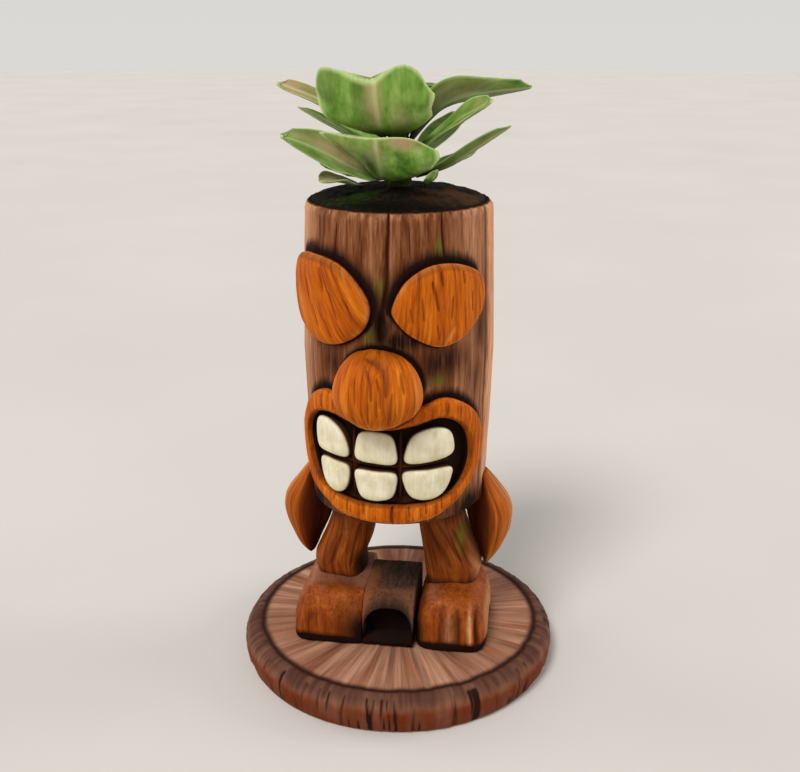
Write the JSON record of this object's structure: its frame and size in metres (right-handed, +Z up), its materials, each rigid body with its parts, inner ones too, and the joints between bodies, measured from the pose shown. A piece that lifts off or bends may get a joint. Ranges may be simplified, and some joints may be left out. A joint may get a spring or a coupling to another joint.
{
  "type": "tiki mug",
  "caption": "Carved log-shaped drinking mug with a toothy face, stubby arms and legs on a round log-slice base, closed by a lift-off leafy lid over a lift-out liner.",
  "frame": {"origin": "centre of the underside of the felt pad, on the axis of the log, which is also the middle of the object's footprint", "axes": "+Z up along the log, -Y the way the face looks, +X the viewer's right when looking at the face"},
  "size_m": [0.1608, 0.1608, 0.2947],
  "materials": {
    "base_wood": "log slice, pinkish brown, dark worn bevel",
    "trunk_wood": "stained pinkish-brown grain with dark burnt shading round the face",
    "carved_wood": "orange stained, satin",
    "charred_wood": "dark burnt, matt",
    "tooth_paint": "cream paint, satin",
    "dowel_wood": "raw",
    "liner_steel": "brushed",
    "screw_steel": "plain",
    "felt": "felt",
    "leaf": "soft green with pale edges and pink tints",
    "plant_stem": "dark green"
  },
  "bodies": {
    "figure": {"felt_pad": "felt", "base_disc": "base_wood", "base_screw_left_front": "screw_steel", "base_screw_left_back": "screw_steel", "base_screw_right_front": "screw_steel", "base_screw_right_back": "screw_steel", "base_screw_bridge": "screw_steel", "left_foot": "carved_wood", "right_foot": "carved_wood", "foot_bridge": "charred_wood", "left_leg": "carved_wood", "right_leg": "carved_wood", "left_leg_dowel": "dowel_wood", "right_leg_dowel": "dowel_wood", "trunk_cup": "trunk_wood", "left_arm": "carved_wood", "right_arm": "carved_wood", "left_arm_dowel": "dowel_wood", "right_arm_dowel": "dowel_wood", "left_eye": "carved_wood", "right_eye": "carved_wood", "nose": "carved_wood", "mouth_ring": "carved_wood", "tooth_upper_left": "tooth_paint", "tooth_upper_middle": "tooth_paint", "tooth_upper_right": "tooth_paint", "tooth_lower_left": "tooth_paint", "tooth_lower_middle": "tooth_paint", "tooth_lower_right": "tooth_paint"},
    "liner": {"liner_cup": "liner_steel"},
    "crown": {"crown_lid": "charred_wood", "plant_stem": "plant_stem", "leaf_front_upper": "leaf", "leaf_front_lower": "leaf", "leaf_left_long": "leaf", "leaf_left_small": "leaf", "leaf_left_mid": "leaf", "leaf_left_jagged": "leaf", "leaf_left_low": "leaf", "leaf_right_long": "leaf", "leaf_right_lower": "leaf", "leaf_right_mid": "leaf", "leaf_right_small": "leaf", "leaf_curl": "leaf", "leaf_heart_left": "leaf", "leaf_heart_right": "leaf", "leaf_back_upper": "leaf", "leaf_back_left": "leaf", "leaf_back_right": "leaf", "leaf_back_low": "leaf", "leaf_back_left_low": "leaf", "leaf_back_right_low": "leaf"}
  },
  "joints": [
    {"name": "liner_lift", "type": "slide", "parent": "figure", "child": "liner", "axis": [0, 0, 1], "range_m": [0, 0.145]},
    {"name": "lid_lift", "type": "slide", "parent": "liner", "child": "crown", "axis": [0, 0, 1], "range_m": [0, 0.03]}
  ]
}
